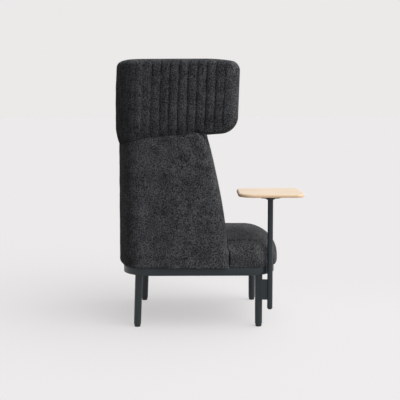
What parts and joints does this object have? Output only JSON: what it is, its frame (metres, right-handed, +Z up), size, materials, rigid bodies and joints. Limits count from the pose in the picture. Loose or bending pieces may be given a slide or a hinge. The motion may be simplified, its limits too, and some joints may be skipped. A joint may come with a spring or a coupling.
{
  "type": "high back lounge chair with swivel table",
  "caption": "Acoustic high back lounge chair with channelled hood, wrap-round wings, waterfall seat, steel ring base and swivelling side table.",
  "frame": {"origin": "on the floor under the middle of the part's bounding box, tabletop in its rest position", "axes": "+Z up, -Y forward (the way the sitter faces), +X toward the sitter's left hand; the table is on the -X side"},
  "size_m": [0.727, 0.8778, 1.239],
  "materials": {
    "upholstery": "short looped pile, matt charcoal",
    "frame_steel": "satin powder coat, blue grey",
    "glide_plastic": "matt black",
    "zinc_screws": "zinc plated",
    "plywood": "raw plywood",
    "veneer": "clear matt lacquer over pale veneer"
  },
  "bodies": {
    "chair": {"base_ring": "frame_steel", "cross_rail_front": "frame_steel", "cross_rail_rear": "frame_steel", "leg_front_right": "frame_steel", "glide_front_right": "glide_plastic", "leg_bolt_front_right": "zinc_screws", "deck_bolt_front_right": "zinc_screws", "leg_front_left": "frame_steel", "glide_front_left": "glide_plastic", "leg_bolt_front_left": "zinc_screws", "deck_bolt_front_left": "zinc_screws", "leg_rear_right": "frame_steel", "glide_rear_right": "glide_plastic", "leg_bolt_rear_right": "zinc_screws", "deck_bolt_rear_right": "zinc_screws", "leg_rear_left": "frame_steel", "glide_rear_left": "glide_plastic", "leg_bolt_rear_left": "zinc_screws", "deck_bolt_rear_left": "zinc_screws", "seat_deck": "plywood", "shell_board": "plywood", "hood_board": "plywood", "shell_cover": "upholstery", "back_pad": "upholstery", "hood_cover": "upholstery", "hood_lining": "upholstery", "seat_base_pad": "upholstery", "seat_top_pad": "upholstery", "board_screw_front_right": "zinc_screws", "lap_screw_front_right": "zinc_screws", "board_screw_front_left": "zinc_screws", "lap_screw_front_left": "zinc_screws", "board_screw_rear_right": "zinc_screws", "lap_screw_rear_right": "zinc_screws", "board_screw_rear_left": "zinc_screws", "lap_screw_rear_left": "zinc_screws", "bracket_plate": "frame_steel", "table_pole": "frame_steel", "pole_end_cap": "glide_plastic", "pole_bush": "glide_plastic"},
    "table": {"tabletop": "veneer", "swivel_plate": "frame_steel", "table_screw_1": "zinc_screws", "table_screw_2": "zinc_screws", "table_screw_3": "zinc_screws", "table_screw_4": "zinc_screws"}
  },
  "joints": [
    {"name": "table_swivel", "type": "hinge", "parent": "chair", "child": "table", "pos_m": [-0.2725, -0.29039, 0.618], "axis": [0, 0, 1], "continuous": true}
  ]
}
